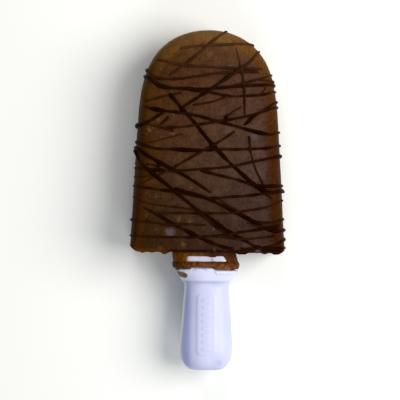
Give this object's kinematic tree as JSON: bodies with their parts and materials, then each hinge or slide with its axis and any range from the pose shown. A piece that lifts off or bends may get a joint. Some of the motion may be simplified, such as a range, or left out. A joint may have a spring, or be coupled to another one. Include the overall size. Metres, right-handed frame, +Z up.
{
  "type": "ice cream bar",
  "caption": "Round-topped moulded chocolate ice cream bar with drizzled chocolate strands, on a white plastic stick with a flared drip guard and an oval grip.",
  "frame": {"origin": "on the surface it lies on, under the middle of the whole", "axes": "+Y along the bar towards its rounded tip, +X to the right of the shown face, +Z up out of the shown face"},
  "size_m": [0.0526, 0.1138, 0.0221],
  "materials": {
    "ice_cream": "frozen dark chocolate ice, satin with fine crystals, amber where it is thin",
    "chocolate_drizzle": "set dark chocolate, soft gloss",
    "frozen_runoff": "clear amber-brown frozen syrup, wet gloss",
    "handle_plastic": "moulded white plastic with a cool tint, satin"
  },
  "bodies": {
    "root": {"ice_cream": "ice_cream", "handle": "handle_plastic"}
  },
  "joints": []
}
